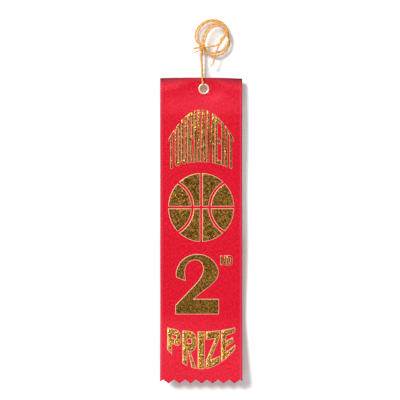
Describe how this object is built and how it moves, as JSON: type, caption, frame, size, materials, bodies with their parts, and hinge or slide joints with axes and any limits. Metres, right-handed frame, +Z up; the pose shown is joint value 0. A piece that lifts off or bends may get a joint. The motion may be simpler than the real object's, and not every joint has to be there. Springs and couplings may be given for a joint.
{
  "type": "carded award ribbon",
  "caption": "Flat satin award ribbon folded over a card, with stamped foil print, a pinked end, a metal eyelet and a wound hanging string.",
  "frame": {"origin": "the hanging point: the place inside the wound string where a pin or peg holds it, 30 mm above the top of the fold and level with the card's middle plane", "axes": "+Z up along the ribbon from its pinked end to the string; +X to the ribbon's right seen from its printed face; +Y from the printed face to the back"},
  "size_m": [0.0508, 0.006, 0.2251],
  "materials": {
    "satin": "woven acetate satin, soft sheen",
    "card": "uncoated white card",
    "eyelet": "stamped and rolled, bright",
    "foil": "hot-stamped metallic gold foil",
    "string": "twisted two-ply string, matt"
  },
  "bodies": {
    "string": {"cord_loop": "string", "cord_knot": "string", "cord_coil": "string", "cord_tail": "string", "cord_short_end_upper": "string", "cord_short_end_lower": "string"},
    "ribbon_head": {"ribbon_head": "satin", "event_card": "card", "eyelet": "eyelet"},
    "ribbon_panel": {"ribbon_panel": "satin", "foil_title_letter_01": "foil", "foil_title_letter_02": "foil", "foil_title_letter_03": "foil", "foil_title_letter_04": "foil", "foil_title_letter_05": "foil", "foil_title_letter_06": "foil", "foil_title_letter_07": "foil", "foil_title_letter_08": "foil", "foil_title_letter_09": "foil", "foil_title_letter_10": "foil", "foil_ball_inner_upper_left": "foil", "foil_ball_inner_upper_right": "foil", "foil_ball_inner_lower_left": "foil", "foil_ball_inner_lower_right": "foil", "foil_ball_outer_upper_left": "foil", "foil_ball_outer_upper_right": "foil", "foil_ball_outer_lower_left": "foil", "foil_ball_outer_lower_right": "foil", "foil_numeral_two": "foil", "foil_suffix_n": "foil", "foil_suffix_d": "foil", "foil_prize_letter_01": "foil", "foil_prize_letter_02": "foil", "foil_prize_letter_03": "foil", "foil_prize_letter_04": "foil", "foil_prize_letter_05": "foil"}
  },
  "joints": [
    {"name": "ribbon_swing", "type": "hinge", "parent": "string", "child": "ribbon_head", "pos_m": [0.0011, 0, -0.0361], "axis": [0, 1, 0], "range_deg": [-35, 35]},
    {"name": "panel_flip", "type": "hinge", "parent": "ribbon_head", "child": "ribbon_panel", "pos_m": [0, -0.0007, -0.045], "axis": [-1, 0, 0], "range_deg": [0, 150]}
  ]
}
